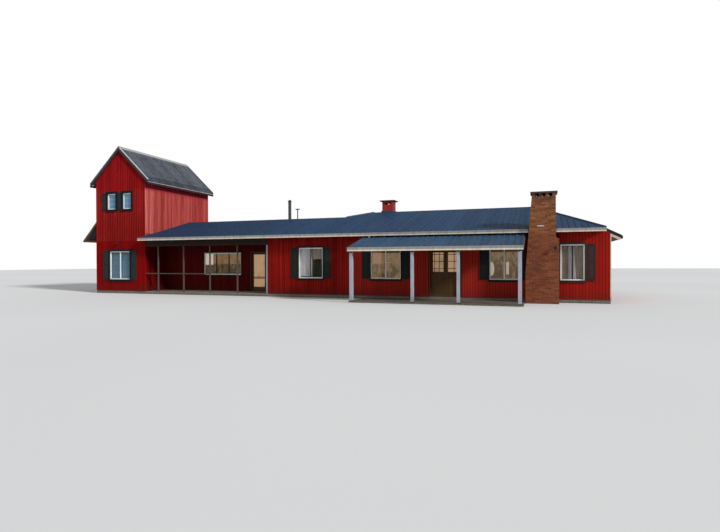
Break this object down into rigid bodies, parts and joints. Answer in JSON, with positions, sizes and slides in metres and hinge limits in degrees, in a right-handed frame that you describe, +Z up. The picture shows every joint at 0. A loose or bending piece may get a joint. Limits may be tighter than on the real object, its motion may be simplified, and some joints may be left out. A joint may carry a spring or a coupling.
{
  "type": "farmhouse with barn tower",
  "caption": "Red board-clad farmhouse with a gabled barn tower, verandah, porch, hipped low roof and brick chimney.",
  "frame": {"origin": "middle of the underside of the building's bounding box, on the ground", "axes": "+X along the front towards the chimney end, +Y from the front towards the back, +Z up"},
  "size_m": [28.8, 13.2, 8.4192],
  "materials": {
    "concrete": "matt cast concrete",
    "floor_timber": "bare planed boards",
    "red_boards": "upright boards with weathered red paint",
    "tower_sheets": "matt dark grey ribbed sheets",
    "blue_sheets": "satin slate blue ribbed sheets",
    "cream_metal": "satin cream paint",
    "white_timber": "satin white paint",
    "green_timber": "satin dark green paint",
    "brown_timber": "varnished brown",
    "brick": "rough red and tan bricks with pale joints",
    "red_metal": "satin red paint",
    "dark_stone": "sooty slab",
    "dark_metal": "matt black paint",
    "window_glass": "clear"
  },
  "bodies": {
    "house": {"floor_slab": "concrete", "porch_slab": "concrete", "tower_floor": "floor_timber", "tower_gable_walls": "red_boards", "tower_side_walls": "red_boards", "tower_roof_left": "tower_sheets", "tower_roof_right": "tower_sheets", "tower_roof_boards": "cream_metal", "front_walls": "red_boards", "door_heads": "red_boards", "verandah_walls": "red_boards", "verandah_end_wall": "red_boards", "wing_end_walls": "red_boards", "wing_back_wall": "red_boards", "back_wall": "red_boards", "right_wall": "red_boards", "roof_front": "blue_sheets", "roof_wing_back": "blue_sheets", "roof_left": "blue_sheets", "roof_back": "blue_sheets", "roof_right": "blue_sheets", "ridge_caps": "blue_sheets", "gutters": "cream_metal", "verandah_frame": "white_timber", "porch_roof": "blue_sheets", "porch_frame": "white_timber", "brick_chimney": "brick", "small_chimney": "red_metal", "chimney_caps": "dark_stone", "flue_pipes": "dark_metal", "window_frames": "white_timber", "window_glass": "window_glass", "window_casings": "green_timber", "window_shutters": "green_timber", "canopy_roof": "tower_sheets", "canopy_brackets": "brown_timber", "door_frames": "brown_timber", "side_door": "brown_timber", "wall_lamps": "dark_metal"},
    "entry_door_left": {"entry_door_left": "brown_timber", "entry_glass_left": "window_glass"},
    "entry_door_right": {"entry_door_right": "brown_timber", "entry_glass_right": "window_glass"},
    "verandah_door": {"verandah_door": "brown_timber", "verandah_door_glass": "window_glass"}
  },
  "joints": [
    {"name": "entry_left_hinge", "type": "hinge", "parent": "house", "child": "entry_door_left", "pos_m": [6.464, -3.811, 0.15], "axis": [0, 0, 1], "range_deg": [0, 90]},
    {"name": "entry_right_hinge", "type": "hinge", "parent": "house", "child": "entry_door_right", "pos_m": [7.836, -3.811, 0.15], "axis": [0, 0, -1], "range_deg": [0, 90]},
    {"name": "verandah_hinge", "type": "hinge", "parent": "house", "child": "verandah_door", "pos_m": [-3.129, -2.011, 0.15], "axis": [0, 0, -1], "range_deg": [0, 90]}
  ]
}
